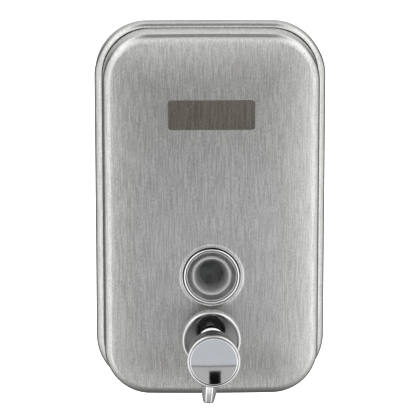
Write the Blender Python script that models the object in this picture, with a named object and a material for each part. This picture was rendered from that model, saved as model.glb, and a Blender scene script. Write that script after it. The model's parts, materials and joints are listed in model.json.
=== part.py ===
"""Wall mounted soap dispenser: a stainless rear shell, a hinged front cover with its tank, and a push valve.

Metres, +Z up. The back plate lies on the plane y = 0, the wall is at +Y and the front faces -Y.
The origin is the centre of the back plate's outer face.
"""

import math

import bmesh
import bpy
from mathutils import Matrix, Vector

MM = 0.001

# Sheet metal body
BODY_WIDTH = 115.6 * MM
BODY_HEIGHT = 185.0 * MM
BODY_CORNER = 26.0 * MM
SHEET = 1.0 * MM
BACK_EDGE = 2.0 * MM
SHOULDER_START = 16.5 * MM
LIP_FRONT = 20.5 * MM
LIP_INSET_X = 3.6 * MM
LIP_INSET_Z = 1.8 * MM
BODY_BOW = 0.4 * MM
WALL_HOLE_R = 2.75 * MM
WALL_HOLES = [(-34 * MM, 62 * MM), (34 * MM, 62 * MM), (-34 * MM, -50 * MM), (34 * MM, -50 * MM)]

# Front cover, which nests in the rear shell's lip
COVER_WIDTH = 107.4 * MM
COVER_HEIGHT = 180.6 * MM
COVER_CORNER = 23.2 * MM
COVER_BACK = 16.0 * MM
COVER_FACE = 47.0 * MM
COVER_EDGE = 4.2 * MM
COVER_DRAFT = 0.6 * MM
COVER_BOW = 0.7 * MM
FACE_CROWN = 0.6 * MM
FACE_FRONT = COVER_FACE + FACE_CROWN
FACE_INNER = COVER_FACE - SHEET

# Hinge along the lower edge
HINGE_DEPTH = 22.8 * MM
HINGE_Z = -87.6 * MM
HINGE_RING_R = 1.8 * MM
SEAM_CLEAR = 21.4 * MM

# Places on the face
WINDOW_Z = -29.3 * MM
VALVE_Z = -61.5 * MM
PLATE_Z = 51.0 * MM
PLATE_WIDTH = 42.6 * MM
PLATE_HEIGHT = 14.4 * MM
PLATE_CORNER = 1.6 * MM
PLATE_THICK = 0.4 * MM
WINDOW_HOLE_R = 14.0 * MM
VALVE_HOLE_R = 7.4 * MM

# Soap tank
TANK_HALF_WIDTH = 44.5 * MM
TANK_BACK = 6.0 * MM
TANK_FRONT = 40.0 * MM
TANK_BOTTOM = -78.0 * MM
TANK_TOP = 56.0 * MM
TANK_WALL = 1.2 * MM
TANK_CORNER = 9.0 * MM
NECK_DEPTH = 23.0 * MM
NECK_R = 12.5 * MM
NECK_BORE_R = 10.8 * MM
NECK_TOP = 63.0 * MM

# Cam lock in the right side wall
LOCK_DEPTH = 9.5 * MM
LOCK_Z = 58.0 * MM
LOCK_HOLE_R = 4.8 * MM

# Spout
SPOUT_DEPTH = 62.0 * MM
SPOUT_ROLL = math.radians(4.0)
STUB_R = 5.0 * MM

GAP = 0.3 * MM
ROUND_STEPS = 32
SMOOTH_ANGLE = math.radians(35.0)


def clear_scene():
    for obj in list(bpy.data.objects):
        bpy.data.objects.remove(obj, do_unlink=True)


def principled(name, color, roughness, metallic, transmission=0.0):
    material = bpy.data.materials.new(name)
    material.use_nodes = True
    shader = material.node_tree.nodes["Principled BSDF"]
    shader.inputs["Base Color"].default_value = (*color, 1.0)
    shader.inputs["Roughness"].default_value = roughness
    shader.inputs["Metallic"].default_value = metallic
    shader.inputs["Transmission Weight"].default_value = transmission
    return material


def joint_empty(name, x, depth, z):
    """An empty on a joint's axis, which the moving pieces hang from."""
    empty = bpy.data.objects.new(name, None)
    empty.location = (x, -depth, z)
    bpy.context.collection.objects.link(empty)
    return empty


def finish(name, bm, material, parent=None):
    """Makes the object, facing outwards and shaded smooth. Its mesh is in the part's own frame."""
    bmesh.ops.recalc_face_normals(bm, faces=bm.faces)
    mesh = bpy.data.meshes.new(name)
    bm.to_mesh(mesh)
    bm.free()
    if mesh_volume(mesh) < 0:
        mesh.flip_normals()
    mesh.shade_smooth()
    mesh.set_sharp_from_angle(angle=SMOOTH_ANGLE)
    obj = bpy.data.objects.new(name, mesh)
    bpy.context.collection.objects.link(obj)
    if material:
        mesh.materials.append(material)
    if parent:
        obj.parent = parent
        obj.matrix_parent_inverse = Matrix.Translation(-Vector(parent.location))
    return obj


def mesh_volume(mesh):
    """Six times the signed volume, summed over triangle fans."""
    total = 0.0
    for face in mesh.polygons:
        corners = [mesh.vertices[i].co for i in face.vertices]
        for second, third in zip(corners[1:], corners[2:]):
            total += corners[0].dot(second.cross(third))
    return total


def stack(name, loops, material, parent=None):
    """A closed solid from loops of equal length, bridged in order, with the first and last loop capped."""
    bm = bmesh.new()
    rings = [[bm.verts.new(point) for point in loop] for loop in loops]
    count = len(rings[0])
    for first, second in zip(rings, rings[1:]):
        for i in range(count):
            j = (i + 1) % count
            bm.faces.new((first[i], first[j], second[j], second[i]))
    bm.faces.new(rings[0])
    bm.faces.new(rings[-1])
    return finish(name, bm, material, parent)


def on_axis(axis, center, radius, angle, along):
    """A point at radius and angle round an axis. Along Y, along is the depth in front of the wall."""
    across, up = radius * math.cos(angle), radius * math.sin(angle)
    if axis == "Y":
        return (center[0] + across, -along, center[2] + up)
    if axis == "Z":
        return (center[0] + across, center[1] + up, along)
    return (along, center[1] + across, center[2] + up)


def turned(name, axis, center, profile, material, parent=None, steps=ROUND_STEPS, hidden=False):
    """A turned solid: profile is a closed outline of (radius, along) points, which may touch the axis."""
    bm = bmesh.new()
    rings = []
    for radius, along in profile:
        if radius == 0:
            rings.append([bm.verts.new(on_axis(axis, center, 0, 0, along))])
            continue
        angles = [2 * math.pi * i / steps for i in range(steps)]
        rings.append([bm.verts.new(on_axis(axis, center, radius, angle, along)) for angle in angles])
    for first, second in zip(rings, rings[1:] + rings[:1]):
        bridge_rings(bm, first, second, steps)
    obj = finish(name, bm, material, parent)
    if hidden:
        hide_cutter(obj)
    return obj


def bridge_rings(bm, first, second, steps):
    if len(first) == 1 and len(second) == 1:
        return
    for i in range(steps):
        j = (i + 1) % steps
        if len(first) == 1:
            bm.faces.new((first[0], second[j], second[i]))
        elif len(second) == 1:
            bm.faces.new((first[i], first[j], second[0]))
        else:
            bm.faces.new((first[i], first[j], second[j], second[i]))


def slab(name, outline, axis, low, high, material, parent=None, hidden=False):
    """An outline extruded between two planes: (depth, z) along X, (x, depth) along Z, (x, z) along Y."""
    place = {
        "X": lambda p, at: (at, -p[0], p[1]),
        "Y": lambda p, at: (p[0], -at, p[1]),
        "Z": lambda p, at: (p[0], -p[1], at),
    }[axis]
    loops = [[place(point, at) for point in outline] for at in (low, high)]
    obj = stack(name, loops, material, parent)
    if hidden:
        hide_cutter(obj)
    return obj


def hide_cutter(obj):
    obj.hide_render = True
    obj.display_type = "WIRE"


def boolean(obj, other, operation):
    modifier = obj.modifiers.new(other.name, "BOOLEAN")
    modifier.operation = operation
    modifier.object = other


def rounded_outline(width, height, radius, bow=0.0, corner_steps=6, edge_steps=4):
    """A rounded rectangle in x and z, anticlockwise, whose top and bottom edges bow outwards."""
    half_w, half_h = width / 2, height / 2
    corners = [(1, 1, 0.0), (-1, 1, 90.0), (-1, -1, 180.0), (1, -1, 270.0)]
    points = []
    for sx, sz, start in corners:
        for i in range(corner_steps + 1):
            angle = math.radians(start + 90.0 * i / corner_steps)
            x = sx * (half_w - radius) + radius * math.cos(angle)
            z = sz * (half_h - radius) + radius * math.sin(angle)
            points.append((x, z))
        if start in (0.0, 180.0):
            run = half_w - radius
            for i in range(1, edge_steps):
                points.append((sx * run * (1 - 2 * i / edge_steps), sz * half_h))
    bowed = []
    for x, z in points:
        rise = bow * (1 - (x / half_w) ** 2) * (z / half_h)
        bowed.append((x, z + rise))
    return bowed


def body_loop(depth, inset_x, inset_z, width, height, radius, bow):
    """One rounded loop at a depth in front of the wall, smaller by an inset on each side."""
    corner = max(radius - (inset_x + inset_z) / 2, 2.0 * MM)
    outline = rounded_outline(width - 2 * inset_x, height - 2 * inset_z, corner, bow)
    return [(x, -depth, z) for x, z in outline]


def circle(center_a, center_b, radius, start, end, steps):
    """Points on an arc, in degrees."""
    angles = [math.radians(start + (end - start) * i / steps) for i in range(steps + 1)]
    return [(center_a + radius * math.cos(a), center_b + radius * math.sin(a)) for a in angles]


def make_rear_shell(steel):
    size = (BODY_WIDTH, BODY_HEIGHT, BODY_CORNER, BODY_BOW)
    quarter = [math.radians(a) for a in (0, 30, 60, 90)]
    loops = []
    for a in quarter:
        inset = BACK_EDGE * (1 - math.sin(a))
        loops.append(body_loop(BACK_EDGE * (1 - math.cos(a)), inset, inset, *size))
    shoulder = LIP_FRONT - SHOULDER_START
    for a in [math.radians(a) for a in (0, 22, 45, 67, 90)]:
        depth = SHOULDER_START + shoulder * math.sin(a)
        roll = 1 - math.cos(a)
        loops.append(body_loop(depth, LIP_INSET_X * roll, LIP_INSET_Z * roll, *size))
    for a in [math.radians(a) for a in (90, 60, 30, 0)]:
        depth = SHOULDER_START + (shoulder - SHEET) * math.sin(a)
        roll = 1 - math.cos(a)
        inset_x = SHEET + (LIP_INSET_X - SHEET) * roll
        inset_z = SHEET + (LIP_INSET_Z - SHEET) * roll
        loops.append(body_loop(depth, inset_x, inset_z, *size))
    inner_round = 1.4 * MM
    for a in quarter:
        inset = SHEET + inner_round * (1 - math.cos(a))
        loops.append(body_loop(SHEET + inner_round * (1 - math.sin(a)), inset, inset, *size))
    shell = stack("rear_shell", loops, steel)
    for i, (x, z) in enumerate(WALL_HOLES):
        profile = [(0, -2 * MM), (WALL_HOLE_R, -2 * MM), (WALL_HOLE_R, 3 * MM), (0, 3 * MM)]
        cutter = turned(f"wall_hole_cutter_{i + 1}", "Y", (x, 0, z), profile, None, steps=24, hidden=True)
        boolean(shell, cutter, "DIFFERENCE")
    center = (0, -LOCK_DEPTH, LOCK_Z)
    profile = [(0, 54 * MM), (LOCK_HOLE_R, 54 * MM), (LOCK_HOLE_R, 60 * MM), (0, 60 * MM)]
    cutter = turned("lock_hole_cutter", "X", center, profile, None, steps=28, hidden=True)
    boolean(shell, cutter, "DIFFERENCE")
    return shell


def make_front_cover(steel, axis):
    size = (COVER_WIDTH, COVER_HEIGHT, COVER_CORNER, COVER_BOW)
    edge_start = COVER_FACE - COVER_EDGE
    loops = []
    for inset, depth in [(40, FACE_FRONT), (26, FACE_FRONT - 0.06 * MM), (14, FACE_FRONT - 0.27 * MM)]:
        loops.append(body_loop(depth, inset * MM, inset * MM, *size))
    for a in [math.radians(a) for a in (90, 72, 54, 36, 18, 0)]:
        inset = COVER_DRAFT + COVER_EDGE * (1 - math.cos(a))
        loops.append(body_loop(edge_start + COVER_EDGE * math.sin(a), inset, inset, *size))
    loops.append(body_loop(COVER_BACK, 0, 0, *size))
    loops.append(body_loop(COVER_BACK, SHEET, SHEET, *size))
    inner_edge = COVER_EDGE - SHEET
    for a in [math.radians(a) for a in (0, 30, 60, 90)]:
        inset = SHEET + COVER_DRAFT + inner_edge * (1 - math.cos(a))
        loops.append(body_loop(edge_start + inner_edge * math.sin(a), inset, inset, *size))
    cover = stack("front_cover", loops, steel, axis)

    rim_inner = WINDOW_HOLE_R - 0.6 * MM
    rim = [(rim_inner, FACE_INNER + GAP)]
    rim += [(15.8 * MM, FACE_INNER + GAP), (15.8 * MM, FACE_FRONT - 0.1 * MM)]
    rim += [(15.2 * MM, FACE_FRONT + 0.4 * MM), (14.5 * MM, FACE_FRONT + 0.5 * MM)]
    rim += [(rim_inner, FACE_FRONT + 0.4 * MM)]
    ring = turned("window_rim_form", "Y", (0, 0, WINDOW_Z), rim, None, hidden=True)
    boolean(cover, ring, "UNION")
    for name, radius, z in [("window", WINDOW_HOLE_R, WINDOW_Z), ("valve", VALVE_HOLE_R, VALVE_Z)]:
        profile = [(0, 43 * MM), (radius, 43 * MM), (radius, 50 * MM), (0, 50 * MM)]
        cutter = turned(f"{name}_hole_cutter", "Y", (0, 0, z), profile, None, hidden=True)
        boolean(cover, cutter, "DIFFERENCE")
    cut_top = HINGE_Z + 1.6 * MM
    outline = [(10 * MM, -96 * MM), (SEAM_CLEAR, -96 * MM), (SEAM_CLEAR, cut_top), (10 * MM, cut_top)]
    cutter = slab("cover_foot_cutter", outline, "X", -60 * MM, 60 * MM, None, hidden=True)
    boolean(cover, cutter, "DIFFERENCE")
    return cover


def make_nameplate(material, axis):
    outline = rounded_outline(PLATE_WIDTH, PLATE_HEIGHT, PLATE_CORNER, corner_steps=5, edge_steps=2)
    outline = [(x, z + PLATE_Z) for x, z in outline]
    low = FACE_FRONT + GAP
    slab("nameplate", outline, "Y", low, low + PLATE_THICK, material, axis)


def make_hinge(steel, pin_steel, axis):
    """Two fixed brackets in the rear shell, two lugs on the cover, and the pin that joins them."""
    center = (0, -HINGE_DEPTH, HINGE_Z)
    profile = scaled([(0, -29.5), (1.0, -29.5), (1.0, 29.5), (0, 29.5)])
    turned("hinge_pin", "X", center, profile, pin_steel, steps=20)
    profile = scaled([(0, -32), (1.15, -32), (1.15, 32), (0, 32)])
    bore = turned("hinge_bore_cutter", "X", center, profile, None, steps=24, hidden=True)

    foot_back = SHEET + GAP
    neck_top, neck_low = HINGE_Z + 7.0 * MM, HINGE_Z + 4.4 * MM
    ring_front = circle(HINGE_DEPTH, HINGE_Z, HINGE_RING_R, 0, -180, 10)
    bracket = [(HINGE_DEPTH + HINGE_RING_R, neck_top - 1.5 * MM)] + ring_front
    bracket += [(HINGE_DEPTH - HINGE_RING_R, neck_low), (foot_back + 1.5 * MM, neck_low)]
    bracket += [(foot_back + 1.5 * MM, HINGE_Z), (foot_back, HINGE_Z), (foot_back, neck_top + 6 * MM)]
    bracket += [(foot_back + 1.5 * MM, neck_top + 6 * MM), (foot_back + 1.5 * MM, neck_top)]
    bracket += [(HINGE_DEPTH + HINGE_RING_R - 1.5 * MM, neck_top)]
    lug = circle(HINGE_DEPTH, HINGE_Z, HINGE_RING_R, 90, 270, 12)
    lug += [(36 * MM, HINGE_Z - HINGE_RING_R), (36 * MM, HINGE_Z - 0.6 * MM), (26 * MM, HINGE_Z - 0.6 * MM)]
    lug += [(25 * MM, HINGE_Z + 1.4 * MM)]
    for side, name in [(-1, "left"), (1, "right")]:
        ends = sorted([side * 25.0 * MM, side * 28.0 * MM])
        fixed = slab(f"hinge_bracket_{name}", bracket, "X", *ends, steel)
        boolean(fixed, bore, "DIFFERENCE")
        ends = sorted([side * 18.0 * MM, side * 24.6 * MM])
        moving = slab(f"hinge_lug_{name}", lug, "X", *ends, steel, axis)
        boolean(moving, bore, "DIFFERENCE")


def make_lock(brass, steel, lock_axis, cover_axis):
    center = (0, -LOCK_DEPTH, LOCK_Z)
    profile = [(3.5, 50.4), (4.5, 50.4), (4.5, 57.7), (3.5, 57.7)]
    turned("lock_housing", "X", center, scaled(profile), brass, steps=28)
    make_nut("lock_nut", "X", center, 4.8, 5.9, 54.0, 56.4, brass)
    profile = [(0, 48.6), (3.2, 48.6), (3.2, 57.3), (2.9, 57.6), (0, 57.6)]
    barrel = turned("lock_barrel", "X", center, scaled(profile), brass, lock_axis, steps=24)
    slot_w, slot_h = 0.6 * MM, 2.2 * MM
    outline = [(LOCK_DEPTH - slot_w, LOCK_Z - slot_h), (LOCK_DEPTH + slot_w, LOCK_Z - slot_h)]
    outline += [(LOCK_DEPTH + slot_w, LOCK_Z + slot_h), (LOCK_DEPTH - slot_w, LOCK_Z + slot_h)]
    cutter = slab("key_slot_cutter", outline, "X", 53.5 * MM, 60 * MM, None, hidden=True)
    boolean(barrel, cutter, "DIFFERENCE")
    outline = circle(LOCK_DEPTH, LOCK_Z, 3.4 * MM, 60, 300, 14)
    outline += [(LOCK_DEPTH + 8.5 * MM, LOCK_Z - 2.2 * MM), (LOCK_DEPTH + 8.5 * MM, LOCK_Z + 2.2 * MM)]
    cam = slab("lock_cam", outline, "X", 47.0 * MM, 48.3 * MM, steel, lock_axis)
    profile = scaled([(0, 44), (1.4, 44), (1.4, 52), (0, 52)])
    cutter = turned("cam_hole_cutter", "X", center, profile, None, steps=20, hidden=True)
    boolean(cam, cutter, "DIFFERENCE")
    profile = [(0, 45.3), (2.0, 45.3), (2.3, 45.6), (2.3, 46.7), (1.1, 46.7), (1.1, 48.3), (0, 48.3)]
    turned("lock_screw", "X", center, scaled(profile), steel, lock_axis, steps=20)
    outline = [(46.8, 4.6), (51.9, 4.6), (51.9, 34.0), (50.9, 34.0), (50.9, 5.8), (46.8, 5.8)]
    slab("lock_strike", scaled(outline), "Z", 63.5 * MM, 70.0 * MM, steel, cover_axis)


def scaled(points):
    return [(a * MM, b * MM) for a, b in points]


def make_tank(plastic, cap_plastic, rubber, steel, cover_axis, filler_axis):
    width, depth = 2 * TANK_HALF_WIDTH, TANK_FRONT - TANK_BACK
    middle = (TANK_FRONT + TANK_BACK) / 2
    loops = []
    sections = [(TANK_BOTTOM, 3.0), (TANK_BOTTOM + 0.9 * MM, 0.9), (TANK_BOTTOM + 3 * MM, 0)]
    sections += [(TANK_TOP - 3 * MM, 0), (TANK_TOP - 0.9 * MM, 0.9), (TANK_TOP, 3.0)]
    for z, inset in sections:
        loops.append(tank_loop(z, inset * MM, width, depth, middle))
    loops += [neck_loop(z, NECK_R) for z in (TANK_TOP, NECK_TOP)]
    loops += [neck_loop(z, NECK_BORE_R) for z in (NECK_TOP, TANK_TOP - TANK_WALL)]
    for z, inset in reversed(sections):
        z_in = min(max(z, TANK_BOTTOM + TANK_WALL), TANK_TOP - TANK_WALL)
        loops.append(tank_loop(z_in, inset * MM + TANK_WALL, width, depth, middle))
    tank = stack("soap_tank", loops, plastic, cover_axis)
    for name, radius, z in [("window", 10.4 * MM, WINDOW_Z), ("valve", VALVE_HOLE_R, VALVE_Z)]:
        profile = [(0, 36 * MM), (radius, 36 * MM), (radius, 42 * MM), (0, 42 * MM)]
        cutter = turned(f"tank_{name}_cutter", "Y", (0, 0, z), profile, None, steps=32, hidden=True)
        boolean(tank, cutter, "DIFFERENCE")

    outline = [(37.6, 56.3), (45.6, 56.3), (45.6, 74.0), (44.4, 74.0), (44.4, 57.5), (37.6, 57.5)]
    slab("tank_bracket", scaled(outline), "X", -16 * MM, 16 * MM, steel, cover_axis)

    center = (0, -NECK_DEPTH, 0)
    profile = [(10.9, 63.2), (12.3, 63.2), (12.3, 64.2), (10.9, 64.2)]
    turned("filler_seal", "Z", center, scaled(profile), rubber, filler_axis, steps=24)
    make_filler_cap(cap_plastic, filler_axis)


def tank_loop(z, inset, width, depth, middle):
    corner = max(TANK_CORNER - inset, 2 * MM)
    outline = rounded_outline(width - 2 * inset, depth - 2 * inset, corner, 0.0, 5, 2)
    return [(x, -middle - y, z) for x, y in outline]


def neck_loop(z, radius):
    """A loop round the filler neck, with each point in line with its point of the tank's own loop."""
    template = rounded_outline(60 * MM, 24 * MM, TANK_CORNER, 0.0, 5, 2)
    angles = [math.atan2(y, x) for x, y in template]
    return [(radius * math.cos(a), -NECK_DEPTH - radius * math.sin(a), z) for a in angles]


def make_filler_cap(plastic, axis):
    """A screw cap with grip ribs round its skirt."""
    ribs, count = 12, 48
    sections = [(57.9, 12.9, 0), (57.9, 14.3, 0), (58.4, 14.3, 0.3), (65.2, 14.3, 0.3), (66.2, 13.5, 0)]
    sections += [(66.2, 10.0, 0), (65.4, 9.4, 0)]
    loops = []
    for z, radius, rib in sections:
        loops.append([])
        for i in range(count):
            angle = 2 * math.pi * i / count
            r = radius + rib * math.cos(ribs * angle)
            loops[-1].append((r * math.cos(angle) * MM, -NECK_DEPTH + r * math.sin(angle) * MM, z * MM))
    inner_r, inner_z = 12.9 * MM, 64.5 * MM
    ring = [2 * math.pi * i / count for i in range(count)]
    inner = [(inner_r * math.cos(a), -NECK_DEPTH + inner_r * math.sin(a), inner_z) for a in ring]
    stack("filler_cap", [inner] + loops, plastic, axis)


def make_window(chrome, clear, rubber, black, axis):
    center = (0, 0, WINDOW_Z)
    profile = [(12.9, 45.9), (13.7, 45.9), (13.7, 48.7), (13.55, 49.1), (13.3, 49.3), (13.05, 49.2)]
    profile += [(12.9, 48.9)]
    turned("window_bezel", "Y", center, scaled(profile), chrome, axis, steps=40)
    profile = [(0, 37.5), (9.7, 37.5), (9.7, 45.9), (12.6, 46.9), (12.6, 48.7), (12.2, 48.7), (9.7, 46.5)]
    profile += [(9.55, 47.4), (9.3, 47.6), (8.9, 47.6), (8.6, 47.3), (6.2, 41.0), (6.0, 39.0), (0, 39.0)]
    turned("window_lens", "Y", center, scaled(profile), clear, axis, steps=40)
    profile = [(10.1, 40.3), (13.2, 40.3), (13.2, 41.9), (10.1, 41.9)]
    turned("window_gasket", "Y", center, scaled(profile), rubber, axis)
    make_nut("window_nut", "Y", center, 10.1, 13.4, 42.2, 45.6, black, axis)


def make_nut(name, axis, center, bore, across, low, high, material, parent=None):
    """A six-sided nut with a round bore, on an axis along X or Y. Its sizes are in millimetres."""
    count = 24
    bm = bmesh.new()
    rings = []
    for radius, along in [(bore, low), (None, low), (None, high), (bore, high)]:
        rings.append([])
        for i in range(count):
            angle = 2 * math.pi * i / count
            flat = (angle + math.pi / 6) % (math.pi / 3) - math.pi / 6
            r = radius or across / math.cos(flat)
            rings[-1].append(bm.verts.new(on_axis(axis, center, r * MM, angle, along * MM)))
    for first, second in zip(rings, rings[1:] + rings[:1]):
        bridge_rings(bm, first, second, count)
    return finish(name, bm, material, parent)


def make_valve(chrome, black, rubber, axis):
    center = (0, 0, VALVE_Z)
    profile = [(7.2, 48.0), (14.6, 48.0), (14.6, 49.0), (14.4, 49.65), (13.9, 50.15), (13.2, 50.35)]
    profile += [(10.0, 50.65), (7.2, 50.85)]
    turned("valve_rosette", "Y", center, scaled(profile), chrome, axis, steps=40)

    profile = [(5.6, 22), (6.6, 22), (6.6, 36.5), (10.4, 36.5), (10.4, 38.5), (6.9, 38.5), (6.9, 51.9)]
    profile += [(5.0, 52.6), (5.0, 65.9), (4.8, 66.3), (4.5, 66.5), (4.5, 64), (3.3, 64), (3.3, 50), (5.6, 50)]
    turned("valve_body", "Y", center, scaled(profile), chrome, axis)

    profile = [(3.25, 64.3), (4.2, 64.3), (4.2, 66.2), (3.25, 66.2)]
    turned("stem_seal", "Y", center, scaled(profile), rubber, axis, steps=24)
    profile = [(7.2, 40.3), (10.6, 40.3), (10.6, 41.9), (7.2, 41.9)]
    turned("valve_gasket", "Y", center, scaled(profile), rubber, axis, steps=24)
    make_nut("valve_nut", "Y", center, 7.2, 10.8, 42.2, 45.6, black, axis)
    make_inlet(center, black, rubber, axis)
    make_spout(chrome, axis)


def make_inlet(center, black, rubber, axis):
    """The fitting that closes the pump chamber, with its ports and the rubber flap that lets soap in."""
    profile = [(1.5, 19), (6.6, 19), (6.6, 21.7), (5.3, 21.7), (5.3, 23.2), (1.5, 23.2)]
    fitting = turned("inlet_fitting", "Y", center, scaled(profile), black, axis, steps=24)
    port_circle = 2.7 * MM
    for i in range(4):
        angle = math.radians(45 + 90 * i)
        at = (port_circle * math.cos(angle), 0, VALVE_Z + port_circle * math.sin(angle))
        profile = scaled([(0, 17), (0.7, 17), (0.7, 25), (0, 25)])
        cutter = turned(f"port_cutter_{i + 1}", "Y", at, profile, None, steps=12, hidden=True)
        boolean(fitting, cutter, "DIFFERENCE")
    profile = [(0, 17.4), (1.3, 17.4), (1.9, 18.6), (1.2, 18.7), (1.2, 23.5), (3.4, 23.5), (3.2, 24.1)]
    profile += [(1.6, 24.6), (0, 24.7)]
    turned("inlet_flap", "Y", center, scaled(profile), rubber, axis, steps=28)


def make_spout(chrome, axis):
    """A tapered eight-sided nozzle under the valve's stub, with a blind bore, rolled a little round the stub."""
    sections = [(3.0, 4.3), (12.0, 4.3), (20.5, 3.9), (25.0, 3.35), (27.4, 2.8), (28.4, 2.2)]
    bore = [(28.4, 1.2), (15.0, 1.2)]
    loops = []
    for drop, radius in sections + bore:
        loops.append([])
        for i in range(16):
            angle = math.pi * (i // 2) / 4 + (math.radians(22.5 + 6) if i % 2 else math.radians(22.5 - 6))
            stretch = radius / math.cos(math.radians(22.5 - 6))
            x, y = stretch * math.cos(angle) * MM, stretch * math.sin(angle) * MM
            loops[-1].append((x, -SPOUT_DEPTH + y, VALVE_Z - drop * MM))
    spout = stack("spout", loops, chrome, axis)
    turn = Matrix.Rotation(SPOUT_ROLL, 4, "Y")
    pivot = Vector((0, 0, VALVE_Z))
    spout.data.transform(Matrix.Translation(pivot) @ turn @ Matrix.Translation(-pivot))
    radius = STUB_R + GAP
    profile = [(0, 50 * MM), (radius, 50 * MM), (radius, 75 * MM), (0, 75 * MM)]
    saddle = turned("spout_saddle_cutter", "Y", (0, 0, VALVE_Z), profile, None, hidden=True)
    boolean(spout, saddle, "DIFFERENCE")


def make_button(chrome, steel, rubber, black, axis, fixed_axis):
    center = (0, 0, VALVE_Z)
    profile = [(0, 90.3), (11.65, 90.3), (11.8, 91.7), (12.1, 92.0), (12.45, 91.9), (12.7, 91.5)]
    profile += [(12.75, 90.8), (12.6, 90.1), (12.35, 89.8), (12.2, 86.4), (11.9, 86.1), (11.9, 85.4), (12.15, 85.1)]
    profile += [(12.0, 81.4), (11.7, 81.1), (11.7, 80.4), (11.95, 80.1), (11.8, 77.0), (11.9, 76.6), (11.7, 76.2)]
    profile += [(11.3, 76.1), (10.7, 76.4), (10.6, 87.6), (5.2, 87.6), (5.2, 79.0), (3.3, 79.0), (3.3, 87.0)]
    profile += [(0, 87.0)]
    turned("button_cap", "Y", center, scaled(profile), chrome, axis, steps=40)
    profile = [(0, 90.6), (11.35, 90.6), (11.35, 92.0), (11.0, 92.35), (7.5, 92.55), (3.5, 92.67), (0, 92.7)]
    turned("button_face", "Y", center, scaled(profile), chrome, axis, steps=40)
    profile = [(0, 42.3), (1.8, 42.3), (1.8, 46.9), (3.0, 46.9), (3.0, 86.7), (0, 86.7)]
    turned("push_stem", "Y", center, scaled(profile), steel, axis, steps=24)
    profile = [(2.1, 42.3), (5.3, 42.3), (5.3, 43.6), (4.3, 43.6), (4.3, 45.2), (5.3, 45.2), (5.3, 46.6)]
    profile += [(2.1, 46.6)]
    turned("piston", "Y", center, scaled(profile), black, axis, steps=24)
    profile = [(4.55, 43.8), (5.45, 43.8), (5.45, 45.0), (4.55, 45.0)]
    turned("piston_ring", "Y", center, scaled(profile), rubber, axis, steps=24)
    make_spring(steel, fixed_axis)


def make_spring(steel, axis):
    """A compression spring between the inlet fitting and the piston: a round wire on a helix."""
    low, high, turns = 23.95 * MM, 41.55 * MM, 4
    coil_r, wire_r = 4.45 * MM, 0.4 * MM
    per_turn, sides = 14, 6
    loops = []
    for i in range(turns * per_turn + 1):
        share = i / (turns * per_turn)
        angle = 2 * math.pi * turns * share
        outward = Vector((math.cos(angle), 0, math.sin(angle)))
        middle = Vector((0, -(low + (high - low) * share), VALVE_Z)) + coil_r * outward
        climb = -(high - low) / (2 * math.pi * turns)
        along = (coil_r * Vector((-math.sin(angle), 0, math.cos(angle))) + Vector((0, climb, 0))).normalized()
        across = along.cross(outward)
        loop = []
        for k in range(sides):
            around = 2 * math.pi * k / sides
            loop.append(middle + wire_r * (math.cos(around) * outward + math.sin(around) * across))
        loops.append(loop)
    stack("return_spring", loops, steel, axis)


def main():
    clear_scene()
    steel = principled("brushed_stainless", (0.42, 0.42, 0.41), 0.32, 1.0)
    bracket_steel = principled("zinc_steel", (0.5, 0.5, 0.5), 0.4, 1.0)
    spring_steel = principled("spring_steel", (0.35, 0.35, 0.36), 0.3, 1.0)
    chrome = principled("chrome_plate", (0.75, 0.76, 0.78), 0.06, 1.0)
    etched = principled("etched_plate", (0.11, 0.1, 0.09), 0.55, 0.6)
    clear = principled("clear_plastic", (0.85, 0.87, 0.87), 0.05, 0.0, 0.9)
    tank_plastic = principled("tank_plastic", (0.72, 0.73, 0.72), 0.45, 0.0, 0.3)
    white = principled("cap_plastic", (0.7, 0.7, 0.68), 0.4, 0.0)
    black = principled("black_plastic", (0.02, 0.02, 0.022), 0.45, 0.0)
    rubber = principled("black_rubber", (0.015, 0.015, 0.015), 0.75, 0.0)
    brass = principled("plated_brass", (0.6, 0.58, 0.52), 0.25, 1.0)

    cover_axis = joint_empty("cover_axis", 0, HINGE_DEPTH, HINGE_Z)
    button_axis = joint_empty("button_axis", 0, COVER_FACE, VALVE_Z)
    filler_axis = joint_empty("filler_axis", 0, NECK_DEPTH, NECK_TOP)
    lock_axis = joint_empty("lock_axis", BODY_WIDTH / 2, LOCK_DEPTH, LOCK_Z)

    make_rear_shell(steel)
    make_front_cover(steel, cover_axis)
    make_nameplate(etched, cover_axis)
    make_hinge(bracket_steel, spring_steel, cover_axis)
    make_lock(brass, bracket_steel, lock_axis, cover_axis)
    make_tank(tank_plastic, white, rubber, bracket_steel, cover_axis, filler_axis)
    make_window(chrome, clear, rubber, black, cover_axis)
    make_valve(chrome, black, rubber, cover_axis)
    make_button(chrome, spring_steel, rubber, black, button_axis, cover_axis)


main()
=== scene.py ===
"""Looks of a wall mounted soap dispenser: brushed stainless case, sight window, chrome push valve."""

import json
import math

import bmesh
import bpy
import numpy as np
from mathutils import Matrix, Vector, geometry


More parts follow.
